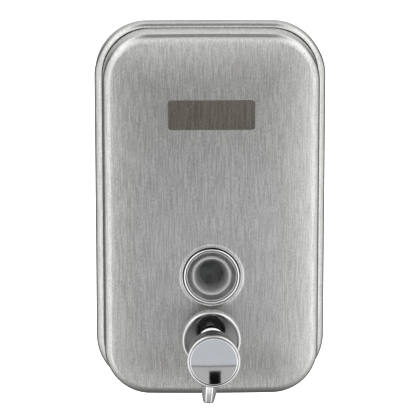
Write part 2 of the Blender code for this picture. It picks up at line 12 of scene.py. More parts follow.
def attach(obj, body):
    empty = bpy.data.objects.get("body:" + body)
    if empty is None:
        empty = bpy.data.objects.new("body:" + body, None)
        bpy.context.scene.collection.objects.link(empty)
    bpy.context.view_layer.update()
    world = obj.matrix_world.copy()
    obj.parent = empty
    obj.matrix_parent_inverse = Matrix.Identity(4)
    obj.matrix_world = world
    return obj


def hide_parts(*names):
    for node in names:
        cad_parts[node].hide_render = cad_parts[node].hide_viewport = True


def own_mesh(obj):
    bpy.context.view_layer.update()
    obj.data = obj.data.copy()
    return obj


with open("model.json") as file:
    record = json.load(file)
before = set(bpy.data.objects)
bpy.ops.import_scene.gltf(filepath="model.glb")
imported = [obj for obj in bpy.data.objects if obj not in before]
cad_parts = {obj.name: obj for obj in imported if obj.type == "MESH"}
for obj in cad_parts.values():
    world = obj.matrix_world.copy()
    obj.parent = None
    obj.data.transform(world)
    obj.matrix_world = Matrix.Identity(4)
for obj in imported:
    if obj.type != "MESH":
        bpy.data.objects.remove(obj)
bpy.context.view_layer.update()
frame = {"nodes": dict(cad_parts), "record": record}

MM = 0.001
# Sizes in millimetres. Shell and cover, as in the CAD model: width, height, corner radius and bow
BODY = (115.6, 185.0, 26.0, 0.4)
COVER = (107.4, 180.6, 23.2, 0.7)
SHEET = 1.0
SHOULDER_START = 16.5
LIP_FRONT = 20.5
LIP_INSET_X = 3.8
LIP_INSET_Z = 1.85
COVER_BACK = 16.0
COVER_FACE = 47.0
COVER_EDGE = 4.2
COVER_DRAFT = 0.6
FACE_CROWN = 0.6
EDGE_FROM = COVER_FACE - COVER_EDGE - 0.5
CROWN_RUN = 34.6
CROWN_POWER = 2.6
EDGE_END = math.radians(85.3)
WINDOW_Z = -29.3
VALVE_Z = -61.5
PLATE_Z = 51.0
# Width, height and corner radius
PLATE = (42.6, 14.4, 1.6)
WALL_HOLES = [(-34, 62), (34, 62), (-34, -50), (34, -50)]
LOCK_DEPTH = 9.5
LOCK_Z = 58.0
LOCK_HOLE_R = 4.8
BACK_ROUND = 2.0
INNER_ROUND = 1.4
WINDOW_HOLE_R = 14.0
VALVE_HOLE_R = 7.4
# Height of the middle, points round the edge, and radius
FACE_HOLES = ((WINDOW_Z, 120, WINDOW_HOLE_R), (VALVE_Z, 48, VALVE_HOLE_R))
FOOT_FRONT = 21.4
FOOT_TOP = -86.0
GRID = 3.0
LOOP_STEPS = (20, 20, 40)
SPOUT_DEPTH = 62.0
SPOUT_ROLL = math.radians(4.0)
SPRING_BACK, SPRING_FRONT = 23.95, 41.55
SHARP = math.radians(35.0)


# ---------------------------------------------------------------- mesh code

def add_object(name, bm, sharp=SHARP, material=None):
    """A smooth shaded object whose faces point out, from points in millimetres."""
    bmesh.ops.scale(bm, vec=(MM, MM, MM), verts=bm.verts)
    bmesh.ops.recalc_face_normals(bm, faces=bm.faces)
    if bm.calc_volume(signed=True) < 0:
        bmesh.ops.reverse_faces(bm, faces=bm.faces)
    mesh = bpy.data.meshes.new(name)
    bm.to_mesh(mesh)
    bm.free()
    mesh.shade_smooth()
    mesh.set_sharp_from_angle(angle=sharp)
    obj = bpy.data.objects.new(name, mesh)
    bpy.context.scene.collection.objects.link(obj)
    if material:
        mesh.materials.append(material)
    return obj


def stack(bm, loops, cap_first=True, cap_last=True):
    """Bridges loops of equal length in order."""
    rings = [[bm.verts.new(p) for p in loop] for loop in loops]
    count = len(rings[0])
    for first, second in zip(rings, rings[1:]):
        for i in range(count):
            j = (i + 1) % count
            bm.faces.new((first[i], first[j], second[j], second[i]))
    if cap_first:
        bm.faces.new(rings[0])
    if cap_last:
        bm.faces.new(rings[-1])
    return rings


def circle(center, radius, steps, offset=0.0):
    """Points on a circle in x and z, starting offset steps round it."""
    angles = [2 * math.pi * (i + offset) / steps for i in range(steps)]
    return [(center[0] + radius * math.cos(a), center[1] + radius * math.sin(a)) for a in angles]


def turned(name, center, profile, material, steps=128, sharp=SHARP):
    """A solid turned about an axis along Y. The profile is a closed outline of (radius, depth)."""
    bm = bmesh.new()
    rings = []
    for radius, depth in profile:
        if radius == 0:
            rings.append([bm.verts.new((center[0], -depth, center[1]))])
            continue
        points = circle(center, radius, steps)
        rings.append([bm.verts.new((x, -depth, z)) for x, z in points])
    for first, second in zip(rings, rings[1:] + rings[:1]):
        if len(first) == 1 and len(second) == 1:
            continue
        for i in range(steps):
            j = (i + 1) % steps
            if len(first) == 1:
                bm.faces.new((first[0], second[j], second[i]))
            elif len(second) == 1:
                bm.faces.new((first[i], first[j], second[0]))
            else:
                bm.faces.new((first[i], first[j], second[j], second[i]))
    return add_object(name, bm, sharp, material)


def arc(center_r, center_f, radius, start, end, steps):
    """Points on an arc in a profile, in degrees."""
    angles = [math.radians(start + (end - start) * i / steps) for i in range(steps + 1)]
    return [(center_r + radius * math.cos(a), center_f + radius * math.sin(a)) for a in angles]


def outline(width, height, radius, bow, corner_steps, top_steps, side_steps):
    """A rounded rectangle in x and z, anticlockwise, whose top and bottom edges bow outwards."""
    half_w, half_h = width / 2, height / 2
    run_w, run_h = half_w - radius, half_h - radius
    points = []
    for sx, sz, start in [(1, 1, 0.0), (-1, 1, 90.0), (-1, -1, 180.0), (1, -1, 270.0)]:
        for i in range(corner_steps + 1):
            a = math.radians(start + 90.0 * i / corner_steps)
            points.append((sx * run_w + radius * math.cos(a), sz * run_h + radius * math.sin(a)))
        steps = top_steps if start in (0.0, 180.0) else side_steps
        for i in range(1, steps):
            t = 1 - 2 * i / steps
            flat = start in (0.0, 180.0)
            points.append((sx * run_w * t, sz * half_h) if flat else (sx * half_w, sz * run_h * t))
    return [(x, z + bow * (1 - (x / half_w) ** 2) * (z / half_h)) for x, z in points]


def body_loop(depth, inset_x, inset_z, size):
    """A loop round the shell or the cover at a depth, smaller by an inset on each side."""
    width, height, radius, bow = size
    corner = max(radius - (inset_x + inset_z) / 2, 2.0)
    points = outline(width - 2 * inset_x, height - 2 * inset_z, corner, bow, *LOOP_STEPS)
    return [(x, -depth, z) for x, z in points]


def apply_cuts(obj, cutters):
    """Cuts the cutters out of obj for good, then removes them."""
    for cutter in cutters:
        modifier = obj.modifiers.new(cutter.name, "BOOLEAN")
        modifier.operation = "DIFFERENCE"
        modifier.solver = "EXACT"
        modifier.object = cutter
    bpy.context.view_layer.update()
    graph = bpy.context.evaluated_depsgraph_get()
    mesh = bpy.data.meshes.new_from_object(obj.evaluated_get(graph))
    obj.modifiers.clear()
    obj.data = mesh
    mesh.name = obj.name
    mesh.shade_smooth()
    mesh.set_sharp_from_angle(angle=SHARP)
    for cutter in cutters:
        bpy.data.objects.remove(cutter, do_unlink=True)


# ---------------------------------------------------------------- material code

# A face counts as level where its normal points up or down by more than this share
LEVEL_FACE = 0.72
# How far the brush lines waver, in metres
BRUSH_WAVER = 0.0016


class Nodes:
    """Short calls that add shader nodes to a new material."""

    def __init__(self, name):
        self.material = bpy.data.materials.new(name)
        self.material.use_nodes = True
        self.tree = self.material.node_tree
        self.shader = self.tree.nodes["Principled BSDF"]
        self.coords = self.tree.nodes.new("ShaderNodeTexCoord").outputs["Object"]

    def set(self, **values):
        for key, value in values.items():
            self.shader.inputs[key.replace("_", " ")].default_value = value

    def link(self, source, target):
        self.tree.links.new(source, self.shader.inputs[target])

    def feed(self, node, name, value):
        socket = node.inputs[name]
        if isinstance(value, bpy.types.NodeSocket):
            self.tree.links.new(value, socket)
        else:
            socket.default_value = value

    def math(self, operation, a, b=0.5):
        node = self.tree.nodes.new("ShaderNodeMath")
        node.operation = operation
        self.feed(node, 0, a)
        self.feed(node, 1, b)
        return node.outputs[0]

    def blend(self, a, b, share):
        """share of a with the rest of b."""
        return self.math("ADD", self.math("MULTIPLY", a, share), self.math("MULTIPLY", b, 1 - share))

    def split(self, vector):
        node = self.tree.nodes.new("ShaderNodeSeparateXYZ")
        self.feed(node, "Vector", vector)
        return node.outputs

    def vector(self, operation, a, b):
        node = self.tree.nodes.new("ShaderNodeVectorMath")
        node.operation = operation
        self.feed(node, 0, a)
        self.feed(node, 1, b)
        return node.outputs[0]

    def noise(self, scale, detail=2.0, roughness=0.5, coords=None, output="Fac"):
        """scale is one number, or three for noise stretched along an axis, in features per metre."""
        coords = coords or self.coords
        if not isinstance(scale, (int, float)):
            coords = self.vector("MULTIPLY", coords, scale)
            scale = 1.0
        node = self.tree.nodes.new("ShaderNodeTexNoise")
        self.feed(node, "Vector", coords)
        self.feed(node, "Scale", float(scale))
        self.feed(node, "Detail", detail)
        self.feed(node, "Roughness", roughness)
        return node.outputs[output]

    def around(self, center_z, low, high):
        """Distance from an axis along Y, in millimetres, as a share of low to high."""
        moved = self.vector("SUBTRACT", self.coords, (0.0, 0.0, center_z * MM))
        node = self.tree.nodes.new("ShaderNodeVectorMath")
        node.operation = "LENGTH"
        self.feed(node, 0, self.vector("MULTIPLY", moved, (1000.0, 0.0, 1000.0)))
        return self.math("DIVIDE", self.math("SUBTRACT", node.outputs["Value"], low), high - low)

    def forward(self, low, high):
        """Depth in front of the wall, in millimetres, as a share of low to high."""
        depth = self.math("MULTIPLY", self.split(self.coords)["Y"], -1000.0)
        return self.math("DIVIDE", self.math("SUBTRACT", depth, low), high - low)

    def spread(self, value, low, high):
        """Roughness from low to high, as noise goes from 0.3 to 0.7."""
        node = self.tree.nodes.new("ShaderNodeMapRange")
        self.feed(node, "Value", value)
        for name, number in (("From Min", 0.3), ("From Max", 0.7), ("To Min", low), ("To Max", high)):
            self.feed(node, name, number)
        self.link(node.outputs[0], "Roughness")

    def ramp(self, value, stops):
        """stops are (position, grey or colour)."""
        node = self.tree.nodes.new("ShaderNodeValToRGB")
        self.feed(node, "Fac", value)
        elements = node.color_ramp.elements
        while len(elements) < len(stops):
            elements.new(0.5)
        for element, (position, color) in zip(elements, stops):
            element.position = position
            if isinstance(color, (int, float)):
                color = (color, color, color)
            element.color = (*color, 1.0)
        return node.outputs["Color"]

    def mix(self, fac, a, b):
        node = self.tree.nodes.new("ShaderNodeMix")
        node.data_type = "RGBA"
        self.feed(node, "Factor", fac)
        for name, value in (("A", a), ("B", b)):
            socket = [s for s in node.inputs if s.name == name and s.type == "RGBA"][0]
            if isinstance(value, bpy.types.NodeSocket):
                self.tree.links.new(value, socket)
            else:
                socket.default_value = (*value, 1.0)
        return [s for s in node.outputs if s.type == "RGBA"][0]

    def bump(self, height, strength, distance):
        node = self.tree.nodes.new("ShaderNodeBump")
        self.feed(node, "Height", height)
        self.feed(node, "Strength", strength)
        self.feed(node, "Distance", distance)
        self.link(node.outputs["Normal"], "Normal")


def brush_coords(n):
    """Coordinates whose third one runs along the brush lines: upwards, but front to back on level faces."""
    x, y, z = n.split(n.coords)
    turned_down = n.tree.nodes.new("ShaderNodeCombineXYZ")
    for target, source in (("X", x), ("Y", z), ("Z", y)):
        n.feed(turned_down, target, source)
    normal = n.tree.nodes.new("ShaderNodeTexCoord").outputs["Normal"]
    level = n.math("GREATER_THAN", n.math("ABSOLUTE", n.split(normal)["Z"]), LEVEL_FACE)
    choose = n.tree.nodes.new("ShaderNodeMix")
    choose.data_type = "VECTOR"
    n.feed(choose, "Factor", level)
    ends = [i for i in choose.inputs if i.type == "VECTOR" and i.name in "AB"]
    n.tree.links.new(n.coords, ends[0])
    n.tree.links.new(turned_down.outputs[0], ends[1])
    along = [o for o in choose.outputs if o.type == "VECTOR"][0]
    wobble = n.vector("SUBTRACT", n.noise(38.0, 2.0, 0.5, output="Color"), (0.5, 0.5, 0.5))
    return n.vector("ADD", along, n.vector("MULTIPLY", wobble, (BRUSH_WAVER, BRUSH_WAVER, 0.0)))


def brushed_steel(name, dark, light, low, high, bump, anisotropy, line=1.0):
    """Stainless steel with fine brush lines that waver a little, and faint smudges. line widens them."""
    n = Nodes(name)
    coords = brush_coords(n)
    grain = n.noise((2800.0 / line, 2800.0 / line, 1100.0), 1.0, 0.5, coords)
    hairs = n.noise((2000.0 / line, 2000.0 / line, 90.0), 1.0, 0.5, coords)
    broad = n.noise((330.0 / line, 330.0 / line, 14.0), 2.0, 0.5, coords)
    smudge = n.noise(22.0, 3.0, 0.6)
    lines = n.blend(n.blend(grain, hairs, 0.5), broad, 0.96)
    n.link(n.ramp(n.blend(lines, smudge, 0.9), [(0.4, dark), (0.6, light)]), "Base Color")
    n.spread(n.blend(lines, smudge, 0.8), low, high)
    n.bump(lines, bump, 0.00008)
    n.set(Metallic=1.0, Anisotropic=anisotropy)
    return n.material


def polished(name, color, low, high):
    """A polished or plated surface with faint smears."""
    n = Nodes(name)
    smears = n.noise(60.0, 4.0, 0.6)
    specks = n.noise(900.0, 2.0, 0.5)
    worn = n.blend(smears, specks, 0.75)
    darker = tuple(c * 0.93 for c in color)
    n.link(n.ramp(worn, [(0.3, color), (0.7, darker)]), "Base Color")
    n.spread(worn, low, high)
    n.set(Metallic=1.0)
    return n.material


def moulded(name, color, low, high, bump=0.12, **values):
    """Moulded plastic or rubber with a fine grain and uneven gloss."""
    n = Nodes(name)
    grain = n.noise(2500.0, 2.0, 0.5)
    cloudy = n.noise(70.0, 3.0, 0.6)
    both = n.blend(grain, cloudy, 0.4)
    lighter = tuple(min(1.0, c * 1.12 + 0.004) for c in color)
    darker = tuple(c * 0.88 for c in color)
    n.link(n.ramp(both, [(0.3, darker), (0.7, lighter)]), "Base Color")
    n.spread(both, low, high)
    n.bump(grain, bump, 0.00004)
    n.set(**values)
    return n.material


def clear_cup_painted_light(name):
    """Clear plastic of the sight window, with light and shade painted by distance from its middle: painted
    shade in the cup, a painted highlight on the rim and a painted dark reflection outside it.
    """
    n = Nodes(name)
    cloudy = n.noise(260.0, 3.0, 0.6)
    waver = n.math("MULTIPLY", n.math("SUBTRACT", cloudy, 0.5), 0.05)
    # Painted light in the base colour: painted shade, dark in the cup's floor and lighter up its walls, then
    # a painted highlight round the rim, a painted dark reflection in the band outside it, and grey at the
    # edge.
    painted_shade_floor_to_wall = [(0.0, 0.045), (0.435, 0.03), (0.455, 0.16), (0.6, 0.32)]
    painted_rim_and_band = [(0.66, 0.62), (0.745, 0.66), (0.77, 0.1), (0.9, 0.07), (0.93, 0.5), (0.97, 0.5)]
    painted_light_tone = n.ramp(n.math("ADD", n.around(WINDOW_Z, 0.0, 13.0), waver), painted_shade_floor_to_wall + painted_rim_and_band)
    n.link(n.mix(n.ramp(cloudy, [(0.4, 0.0), (0.6, 0.1)]), painted_light_tone, (0.5, 0.51, 0.52)), "Base Color")
    n.link(n.ramp(cloudy, [(0.3, 0.03), (0.7, 0.10)]), "Roughness")
    n.set(IOR=1.46, Transmission_Weight=0.45)
    return n.material


def chrome_with_painted_reflections(n, painted_light_tone, smear_scale, veil, rough):
    """Chrome whose base colour carries painted reflections that change with place, under a veil of smears.
    """
    smears = n.noise(smear_scale, 4.0, 0.6)
    n.link(n.mix(n.ramp(smears, [(0.3, 0.0), (0.7, veil)]), painted_light_tone, (0.6, 0.61, 0.62)), "Base Color")
    n.link(n.ramp(smears, [(0.3, rough[0]), (0.7, rough[1])]), "Roughness")
    n.set(Metallic=1.0)
    return n.material


def grooved_chrome_painted_reflections(name):
    """Chrome of the push button with painted reflections: near black on its grooved side, grey inside, and a
    painted highlight at its front rim.
    """
    n = Nodes(name)
    # Painted reflections by depth: a painted dark reflection along the grooved side and a painted highlight
    # at the front rim.
    side = n.ramp(n.forward(76.0, 91.0), [(0.0, 0.03), (0.88, 0.025), (0.93, 0.6), (1.0, 0.66)])
    outside = n.math("GREATER_THAN", n.around(VALVE_Z, 0.0, 1.0), 11.2)
    return chrome_with_painted_reflections(n, n.mix(outside, (0.42, 0.42, 0.43), side), 80.0, 0.03, (0.03, 0.08))


def nozzle_chrome_painted_reflections(name):
    """Chrome of the spout with painted reflections: bright on its front facet and darker on the sides."""
    n = Nodes(name)
    x, _, z = n.split(n.coords)
    drop = n.math("SUBTRACT", VALVE_Z * MM, z)
    across = n.math("ADD", x, n.math("MULTIPLY", drop, math.tan(SPOUT_ROLL)))
    off = n.math("MULTIPLY", n.math("ABSOLUTE", across), 200.0)
    # Painted reflections: bright on the front facet, darker on the sides, and lighter again towards the far
    # edges.
    painted_light_tone = n.ramp(off, [(0.0, 0.88), (0.3, 0.86), (0.36, 0.3), (0.6, 0.22), (1.0, 0.5)])
    return chrome_with_painted_reflections(n, painted_light_tone, 90.0, 0.12, (0.04, 0.10))


def flange_chrome_painted_reflections(name):
    """Chrome of the valve's flange with painted reflections: dark inside a painted bright rim."""
    n = Nodes(name)
    # Painted reflections: dark on the flange's face and bright on its rim.
    painted_light_tone = n.ramp(n.around(VALVE_Z, 0.0, 15.0), [(0.0, 0.1), (0.86, 0.14), (0.91, 0.6), (1.0, 0.6)])
    return chrome_with_painted_reflections(n, painted_light_tone, 90.0, 0.12, (0.04, 0.10))


# ---------------------------------------------------------------- pieces

def make_rear_shell(material):
    """The tray: rounded back edge, shoulder rolled in to the lip, and the same way back inside."""
    loops = []
    for i in range(7):
        a = math.radians(15 * i)
        inset = BACK_ROUND * (1 - math.sin(a))
        loops.append(body_loop(BACK_ROUND * (1 - math.cos(a)), inset, inset, BODY))
    rise = LIP_FRONT - SHOULDER_START
    for i in range(13):
        a = math.radians(7.5 * i)
        roll = 1 - math.cos(a)
        depth = SHOULDER_START + rise * math.sin(a)
        loops.append(body_loop(depth, LIP_INSET_X * roll, LIP_INSET_Z * roll, BODY))
    for i in range(9):
        a = math.radians(90 - 11.25 * i)
        roll = 1 - math.cos(a)
        inset_x = SHEET + (LIP_INSET_X - SHEET) * roll
        inset_z = SHEET + (LIP_INSET_Z - SHEET) * roll
        loops.append(body_loop(SHOULDER_START + (rise - SHEET) * math.sin(a), inset_x, inset_z, BODY))
    for i in range(6):
        a = math.radians(18 * i)
        inset = SHEET + INNER_ROUND * (1 - math.cos(a))
        loops.append(body_loop(SHEET + INNER_ROUND * (1 - math.sin(a)), inset, inset, BODY))
    bm = bmesh.new()
    stack(bm, loops)
    shell = add_object("rear_shell_brushed", bm, material=material)
    cutters = []
    for i, (x, z) in enumerate(WALL_HOLES):
        profile = [(0, -2), (3.15, -2), (3.15, -0.001), (2.75, 0.4), (2.75, 3), (0, 3)]
        cutters.append(turned(f"wall_hole_cutter_{i}", (x, z), profile, None, 48))
    bm = bmesh.new()
    loops = []
    for x in (54, 60):
        loops.append([(x, y, z) for y, z in circle((-LOCK_DEPTH, LOCK_Z), LOCK_HOLE_R, 48)])
    stack(bm, loops)
    cutters.append(add_object("lock_hole_cutter", bm))
    apply_cuts(shell, cutters)
    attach(shell, "housing")
    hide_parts("rear_shell")


def inset_at(x, z):
    """How far a point of the face lies inside the cover's outline."""
    width, height, radius, bow = COVER
    half_w, half_h = width / 2, height / 2
    z = z / (1 + bow * (1 - (x / half_w) ** 2) / half_h)
    over_x, over_z = abs(x) - (half_w - radius), abs(z) - (half_h - radius)
    if over_x > 0 and over_z > 0:
        return radius - math.hypot(over_x, over_z)
    return min(half_w - abs(x), half_h - abs(z))


# The rim pressed round the window: distance from the window's middle, and height above the face
PRESSED_RIM = [(WINDOW_HOLE_R, -0.7), (14.2, -0.3), (14.45, 0.0), (14.7, 0.12), (15.0, 0.16), (15.3, 0.15),
               (15.6, 0.1), (15.9, 0.055), (16.2, 0.02), (16.6, 0.0), (200.0, 0.0)]


def face_depth(x, z):
    """Depth of the face in front of the wall: a slight crown, and the rim pressed round the window."""
    start = COVER_DRAFT + COVER_EDGE * (1 - math.cos(EDGE_END))
    low = EDGE_FROM + COVER_EDGE * math.sin(EDGE_END)
    share = min(max((inset_at(x, z) - start) / CROWN_RUN, 0.0), 1.0)
    depth = low + (COVER_FACE + FACE_CROWN - low) * (1 - (1 - share) ** CROWN_POWER)
    r = math.hypot(x, z - WINDOW_Z)
    return depth + float(np.interp(r, [p[0] for p in PRESSED_RIM], [p[1] for p in PRESSED_RIM]))


def face_points(rim_points):
    """Places on the face: its rim, loops inside that, rings round both holes and a grid between them."""
    points = list(rim_points)
    for inset in (6.2, 7.4, 9.0, 11.0, 13.5, 16.5, 20.0):
        points += [(x, z) for x, _, z in body_loop(0, inset, inset, COVER)]
    window_radii = [WINDOW_HOLE_R, 14.1, 14.2, 14.32, 14.45, 14.57, 14.7, 14.85, 15.0, 15.15, 15.3, 15.45]
    window_radii += [15.6, 15.75, 15.9, 16.05, 16.2, 16.4, 16.6, 17.4, 19.0]
    for (center, count, _), radii in zip(FACE_HOLES, (window_radii, [VALVE_HOLE_R, 8.2, 10.0])):
        for r in radii:
            points += circle((0, center), r, count, 0.5)
    for i in range(-16, 17):
        for k in range(-30, 31):
            x, z = GRID * i, GRID * k
            clear = math.hypot(x, z - WINDOW_Z) > 20.3 and math.hypot(x, z - VALVE_Z) > 11.2
            if clear and inset_at(x, z) > 21.3:
                points.append((x, z))
    return points


def face_cells(rim_points):
    """The face as flat points and triangles, without those over the holes."""
    points = [Vector(p) for p in face_points(rim_points)]
    made = geometry.delaunay_2d_cdt(points, [], [], 0, 1e-5, False)
    flat = [(v.x, v.y) for v in made[0]]
    cells = []
    for cell in made[2]:
        cx = sum(flat[i][0] for i in cell) / 3
        cz = sum(flat[i][1] for i in cell) / 3
        if all(math.hypot(cx, cz - center) > radius - 0.01 for center, _, radius in FACE_HOLES):
            cells.append(cell)
    return flat, cells


def cover_back_loop(inset):
    """The cover's rear edge, cut back along the foot where the hinge is."""
    loop = body_loop(COVER_BACK, inset, inset, COVER)
    return [(x, -FOOT_FRONT if z < FOOT_TOP else y, z) for x, y, z in loop]


def cover_walls():
    """Loops of the cover's outside and inside, from the rear edge to the edge of the face."""
    outside = [cover_back_loop(0)]
    inside = [cover_back_loop(SHEET)]
    for depth, inset in ((23, 0.1), (33, 0.35)):
        outside.append(body_loop(depth, inset, inset, COVER))
    inside.append(body_loop(23, SHEET + 0.1, SHEET + 0.1, COVER))
    for i in range(15):
        a = EDGE_END * i / 14
        inset = COVER_DRAFT + COVER_EDGE * (1 - math.cos(a))
        outside.append(body_loop(EDGE_FROM + COVER_EDGE * math.sin(a), inset, inset, COVER))
    inner_edge = COVER_EDGE - SHEET
    for i in range(8):
        a = EDGE_END * i / 7
        inset = SHEET + COVER_DRAFT + inner_edge * (1 - math.cos(a))
        inside.append(body_loop(EDGE_FROM + inner_edge * math.sin(a), inset, inset, COVER))
    inside.append([(x, y + SHEET, z) for x, y, z in outside[-1]])
    return outside, inside


def bridge_edges(bm, first, second):
    """A strip of faces between two edges of equal length."""
    a = [bm.verts.new(p) for p in first]
    b = [bm.verts.new(p) for p in second]
    for i in range(len(a)):
        j = (i + 1) % len(a)
        bm.faces.new((a[i], a[j], b[j], b[i]))


def make_front_cover(material):
    """The cover: rounded walls, a triangulated face with two holes, and both again on the inside."""
    outside, inside = cover_walls()
    bm = bmesh.new()
    stack(bm, outside, False, False)
    stack(bm, inside, False, False)
    flat, cells = face_cells([(x, z) for x, _, z in outside[-1]])
    depths = [face_depth(x, z) for x, z in flat]
    for offset in (0.0, SHEET):
        verts = [bm.verts.new((x, -(depth - offset), z)) for (x, z), depth in zip(flat, depths)]
        for cell in cells:
            bm.faces.new([verts[i] for i in cell])
    bridge_edges(bm, outside[0], inside[0])
    for center, count, radius in FACE_HOLES:
        edge = [(x, -face_depth(x, z), z) for x, z in circle((0, center), radius, count, 0.5)]
        bridge_edges(bm, edge, [(x, y + SHEET, z) for x, y, z in edge])
    bmesh.ops.remove_doubles(bm, verts=bm.verts, dist=0.002)
    loose = [v for v in bm.verts if not v.link_faces]
    bmesh.ops.delete(bm, geom=loose, context="VERTS")
    cover = add_object("front_cover_brushed", bm, material=material)
    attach(cover, "cover")
    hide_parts("front_cover")


def make_nameplate(material):
    """A plain etched plate with softened edges."""
    bm = bmesh.new()
    loops = []
    width, height, corner = PLATE
    edge = ((0.0, 47.9), (0.0, 48.12), (0.03, 48.2), (0.09, 48.26), (0.18, 48.29), (0.32, 48.3))
    for inset, depth in edge:
        loop = outline(width - 2 * inset, height - 2 * inset, corner - inset, 0.0, 8, 8, 4)
        loops.append([(x, -depth, z + PLATE_Z) for x, z in loop])
    stack(bm, loops)
    plate = add_object("nameplate_etched", bm, material=material)
    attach(plate, "cover")
    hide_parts("nameplate")


def make_window(chrome, clear):
    """The bright ring, and the clear cup that it holds."""
    center = (0, WINDOW_Z)
    profile = [(12.9, 45.9), (13.7, 45.9), (13.7, 48.6)]
    profile += arc(13.3, 48.8, 0.4, 0, 180, 14)[1:] + [(12.9, 48.6)]
    bezel = turned("window_bezel_ring", center, profile, chrome, 144)
    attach(bezel, "cover")
    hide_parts("window_bezel")
    profile = [(0, 37.5), (9.5, 37.5), (9.7, 37.7), (9.7, 45.9), (12.5, 46.85), (12.6, 46.95), (12.6, 48.6)]
    profile += arc(12.4, 48.6, 0.2, 0, 180, 6)[1:]
    profile += [(12.0, 48.2), (11.0, 47.35), (10.2, 46.75), (9.6, 46.6)]
    profile += arc(9.0, 47.15, 0.4, -10, 200, 12) + [(8.5, 46.6), (7.6, 44.2), (6.6, 41.6), (6.3, 40.4)]
    profile += [(6.1, 39.4), (5.7, 39.1), (0, 39.0)]
    # The lens's material carries painted shade, a painted highlight and a painted reflection, set by radius.
    lens = turned("window_lens_clear", center, profile, clear, 144)
    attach(lens, "cover")
    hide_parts("window_lens")


def make_rosette(chrome):
    """A shallow flange with a rolled rim."""
    profile = [(7.2, 48.0), (14.45, 48.0), (14.6, 48.15), (14.6, 49.45)]
    profile += arc(13.7, 49.45, 0.9, 0, 84, 14)[1:]
    profile += [(13.0 - 0.45 * i, 50.33 + 0.045 * i) for i in range(13)] + [(7.3, 50.88), (7.2, 50.75)]
    rosette = turned("valve_rosette_chrome", (0, VALVE_Z), profile, chrome, 144)
    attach(rosette, "cover")
    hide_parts("valve_rosette")


def make_spout(chrome):
    """A tapered eight-sided nozzle with softened edges and a blind bore, saddled on the valve's stub."""
    sections = [(3.0, 4.3), (6.0, 4.3), (9.0, 4.3), (12.0, 4.3), (15.0, 4.2), (18.0, 4.05), (20.5, 3.9)]
    sections += [(23.0, 3.62), (25.0, 3.35), (26.4, 3.05), (27.4, 2.8), (28.1, 2.5), (28.4, 2.2)]
    sections += [(28.4, 1.35), (28.2, 1.2), (15.0, 1.2)]
    edge_share = math.cos(math.radians(22.5 - 6.0))
    bm = bmesh.new()
    loops = []
    for drop, radius in sections:
        loop = []
        for i in range(8):
            for tilt in (-6.0, -3.0, 0.0, 3.0, 6.0):
                a = math.radians(45 * i + 22.5 + tilt)
                reach = radius / edge_share * (1 + 0.012 * (1 - abs(tilt) / 6.0) ** 0.5)
                loop.append((reach * math.cos(a), -SPOUT_DEPTH + reach * math.sin(a), -drop))
        loops.append(loop)
    stack(bm, loops)
    bmesh.ops.rotate(bm, verts=bm.verts, cent=(0, 0, 0), matrix=Matrix.Rotation(SPOUT_ROLL, 3, "Y"))
    bmesh.ops.translate(bm, verts=bm.verts, vec=(0, 0, VALVE_Z))
    spout = add_object("spout_chrome", bm, math.radians(20), chrome)
    saddle = turned("saddle_cutter", (0, VALVE_Z), [(0, 50), (5.3, 50), (5.3, 75), (0, 75)], None, 96)
    apply_cuts(spout, [saddle])
    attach(spout, "cover")
    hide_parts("spout")


def make_button(grooved, chrome):
    """The grooved cap, hollow behind, and the slightly domed mirror set in its front."""
    center = (0, VALVE_Z)
    profile = [(0, 90.3), (11.65, 90.3), (11.75, 91.7)] + arc(12.25, 91.7, 0.48, 180, 10, 12)
    profile += [(12.75, 91.2), (12.72, 90.6), (12.6, 90.1), (12.35, 89.8), (12.3, 88.4), (12.2, 86.5)]
    profile += [(12.12, 86.25), (11.9, 86.1), (11.88, 85.4), (12.08, 85.25), (12.15, 85.1), (12.08, 83.2)]
    profile += [(12.0, 81.5), (11.92, 81.25), (11.7, 81.1), (11.68, 80.4), (11.88, 80.25), (11.95, 80.1)]
    profile += [(11.88, 78.4), (11.8, 77.0), (11.88, 76.7), (11.8, 76.35), (11.6, 76.18), (11.3, 76.1)]
    profile += [(10.9, 76.2), (10.7, 76.4), (10.6, 87.6), (5.2, 87.6), (5.2, 79.0), (3.3, 79.0), (3.3, 87.0)]
    profile += [(0, 87.0)]
    # The cap's material has a painted dark reflection on its grooved side and a painted highlight on its
    # rim.
    cap = turned("button_cap_chrome", center, profile, grooved, 144)
    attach(cap, "button")
    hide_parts("button_cap")
    profile = [(0, 90.6), (11.3, 90.6), (11.35, 90.7), (11.35, 92.22), (11.3, 92.29), (11.2, 92.32)]
    for i in range(19):
        r = 11.0 * (1 - i / 18)
        profile.append((r, 92.68 - 0.35 * (r / 11.0) ** 2))
    face = turned("button_face_chrome", center, profile, chrome, 144)
    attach(face, "button")
    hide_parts("button_face")


def make_spring(material):
    """The pump's spring: a round wire on a helix."""
    length, turns = SPRING_FRONT - SPRING_BACK, 4
    coil_r, wire_r = 4.45, 0.4
    per_turn, sides = 48, 12
    loops = []
    for i in range(turns * per_turn + 1):
        share = i / (turns * per_turn)
        a = 2 * math.pi * turns * share
        outward = Vector((math.cos(a), 0, math.sin(a)))
        middle = Vector((0, -(SPRING_BACK + length * share), VALVE_Z)) + coil_r * outward
        climb = Vector((0, -length / (2 * math.pi * turns), 0))
        along = (coil_r * Vector((-math.sin(a), 0, math.cos(a))) + climb).normalized()
        across = along.cross(outward)
        ring = [2 * math.pi * k / sides for k in range(sides)]
        loops.append([middle + wire_r * (math.cos(b) * outward + math.sin(b) * across) for b in ring])
    bm = bmesh.new()
    stack(bm, loops)
    spring = add_object("return_spring_coil", bm, material=material)
    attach(spring, "cover")
    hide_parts("return_spring")
    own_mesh(spring)


# ---------------------------------------------------------------- stage

